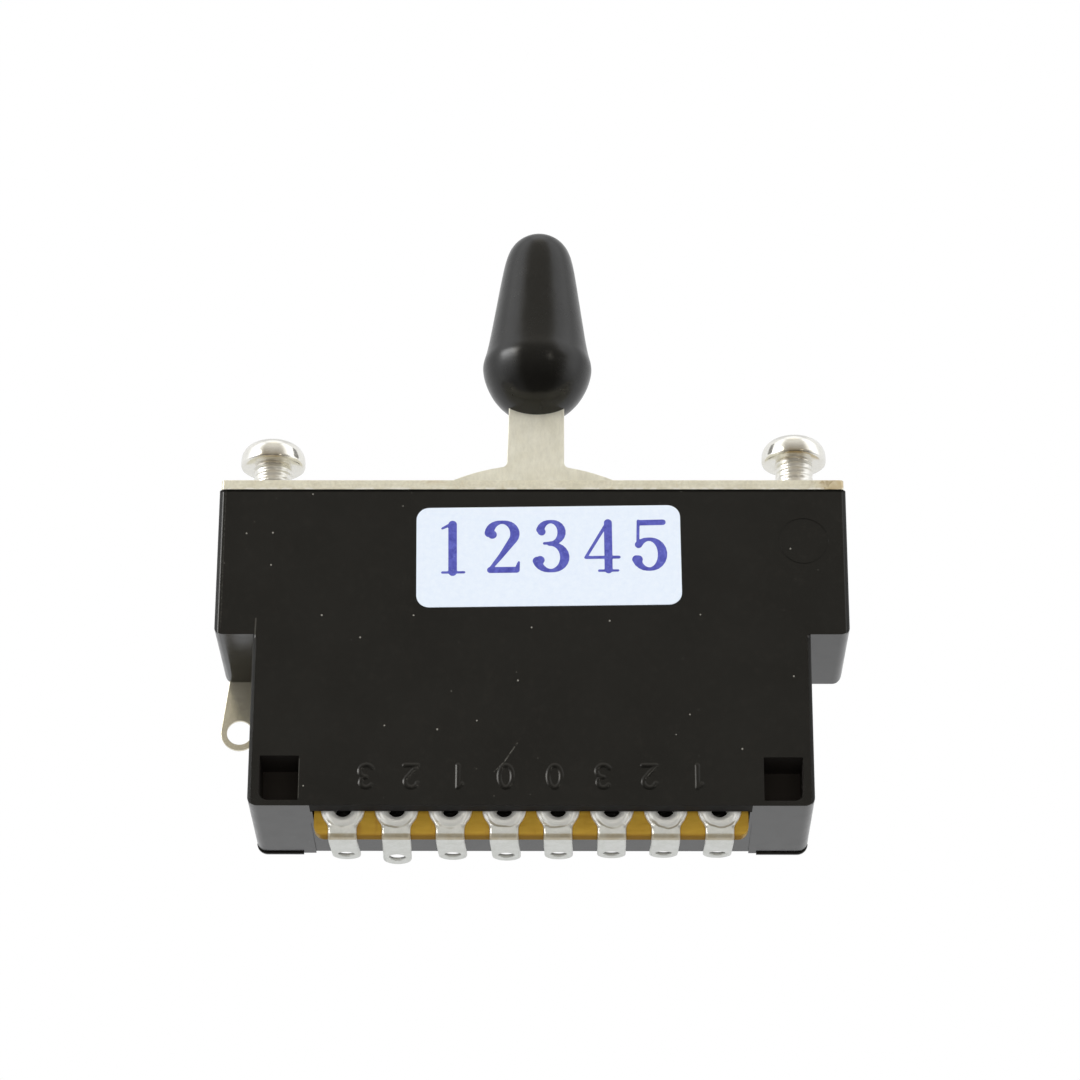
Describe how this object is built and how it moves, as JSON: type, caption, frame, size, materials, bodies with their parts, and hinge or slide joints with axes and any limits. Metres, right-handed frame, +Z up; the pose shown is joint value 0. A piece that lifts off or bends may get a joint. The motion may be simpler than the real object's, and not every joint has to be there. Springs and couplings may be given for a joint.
{
  "type": "lever selector switch",
  "caption": "Slim closed-body lever selector switch with a metal top plate, a soft-tipped blade lever, mounting screws, a row of solder lugs and a ground lug.",
  "frame": {"origin": "centre of the top plate's upper face, midway between the mounting screws, where the switch is fixed under a panel", "axes": "+Z up along the lever, +X along the plate from the left screw to the right one, -Y out of the front face with the label"},
  "size_m": [0.0488, 0.0105, 0.053],
  "materials": {
    "black_moulding": "glossy black phenolic moulding",
    "nickel_plate": "satin nickel plating",
    "bright_screw": "bright nickel plating",
    "lever_steel": "satin nickel plating",
    "black_tip": "glossy soft plastic",
    "carrier_plastic": "natural nylon",
    "bronze": "phosphor bronze",
    "pin_steel": "ground steel",
    "board_laminate": "amber phenolic paper laminate",
    "tinned_metal": "bright tin plating",
    "silvered_contact": "silver-plated brass",
    "spring_steel": "spring steel",
    "ground_plate": "nickel plating",
    "label_paper": "coated white paper"
  },
  "bodies": {
    "switch_body": {"housing": "black_moulding", "top_plate": "nickel_plate", "mounting_screw_left": "bright_screw", "mounting_screw_right": "bright_screw", "pivot_pin": "pin_steel", "terminal_board": "board_laminate", "terminal_rivets": "tinned_metal", "detent_spring": "spring_steel", "ground_lug": "ground_plate", "front_label": "label_paper", "left_contact_outer": "silvered_contact", "left_contact_middle": "silvered_contact", "left_contact_inner": "silvered_contact", "left_contact_common": "silvered_contact", "right_contact_common": "silvered_contact", "right_contact_inner": "silvered_contact", "right_contact_middle": "silvered_contact", "right_contact_outer": "silvered_contact", "solder_lug_1": "tinned_metal", "solder_lug_2": "tinned_metal", "solder_lug_3": "tinned_metal", "solder_lug_4": "tinned_metal", "solder_lug_5": "tinned_metal", "solder_lug_6": "tinned_metal", "solder_lug_7": "tinned_metal", "solder_lug_8": "tinned_metal"},
    "lever_assembly": {"lever": "lever_steel", "lever_tip": "black_tip", "contact_carrier": "carrier_plastic", "wiper_left": "bronze", "wiper_right": "bronze"}
  },
  "joints": [
    {"name": "lever_hinge", "type": "hinge", "parent": "switch_body", "child": "lever_assembly", "pos_m": [0, 0, -0.0122], "axis": [0, 1, 0], "range_deg": [-28.65, 27.35], "deforming": ["detent_spring"]}
  ]
}
